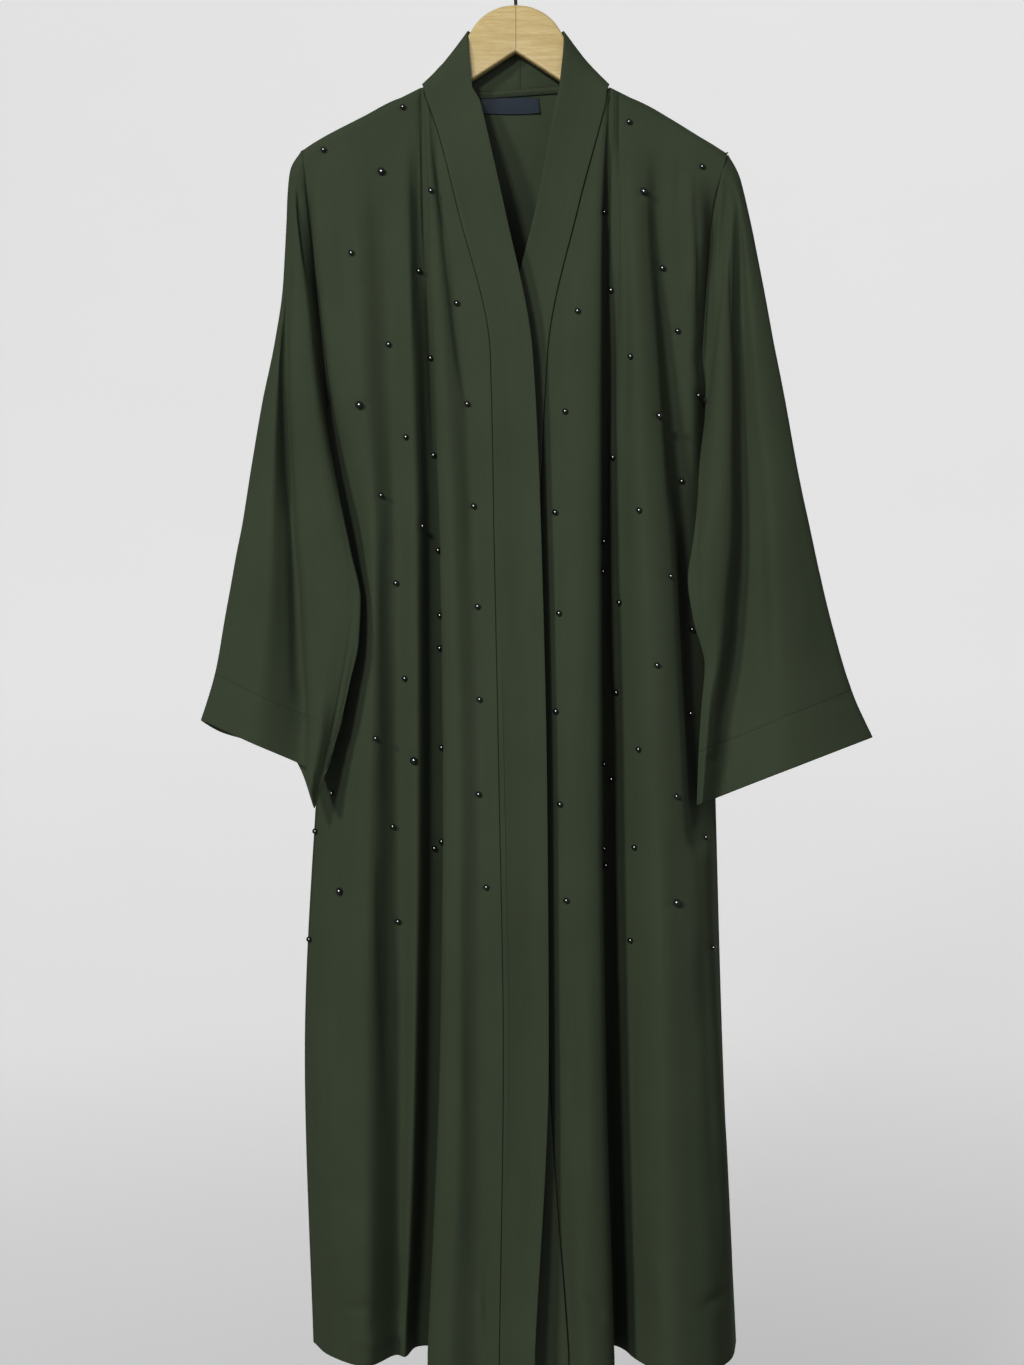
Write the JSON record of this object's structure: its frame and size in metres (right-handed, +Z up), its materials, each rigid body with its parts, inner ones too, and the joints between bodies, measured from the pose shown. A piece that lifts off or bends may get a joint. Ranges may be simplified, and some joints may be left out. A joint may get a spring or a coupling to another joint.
{
  "type": "abaya cloak on a hanger",
  "caption": "Open-front full-length abaya with wide sleeves and a neck band, hanging from the hook of a flat wooden hanger.",
  "frame": {"origin": "top of the hook's inside, where the rail bears", "axes": "+Z up; the garment's front faces -Y; the wearer's right side lies at -X"},
  "size_m": [0.7078, 0.1743, 1.4815],
  "materials": {
    "olive_cloth": "matte smooth crepe",
    "navy_label": "woven satin",
    "pale_wood": "clear satin lacquer",
    "dark_wire": "darkened wire"
  },
  "bodies": {
    "root": {"back": "olive_cloth", "front_right": "olive_cloth", "front_left": "olive_cloth", "sleeve_right": "olive_cloth", "sleeve_left": "olive_cloth", "cuff_right": "olive_cloth", "cuff_left": "olive_cloth", "band_right": "olive_cloth", "band_left": "olive_cloth", "label": "navy_label", "hanger": "pale_wood", "hook": "dark_wire"}
  },
  "joints": []
}
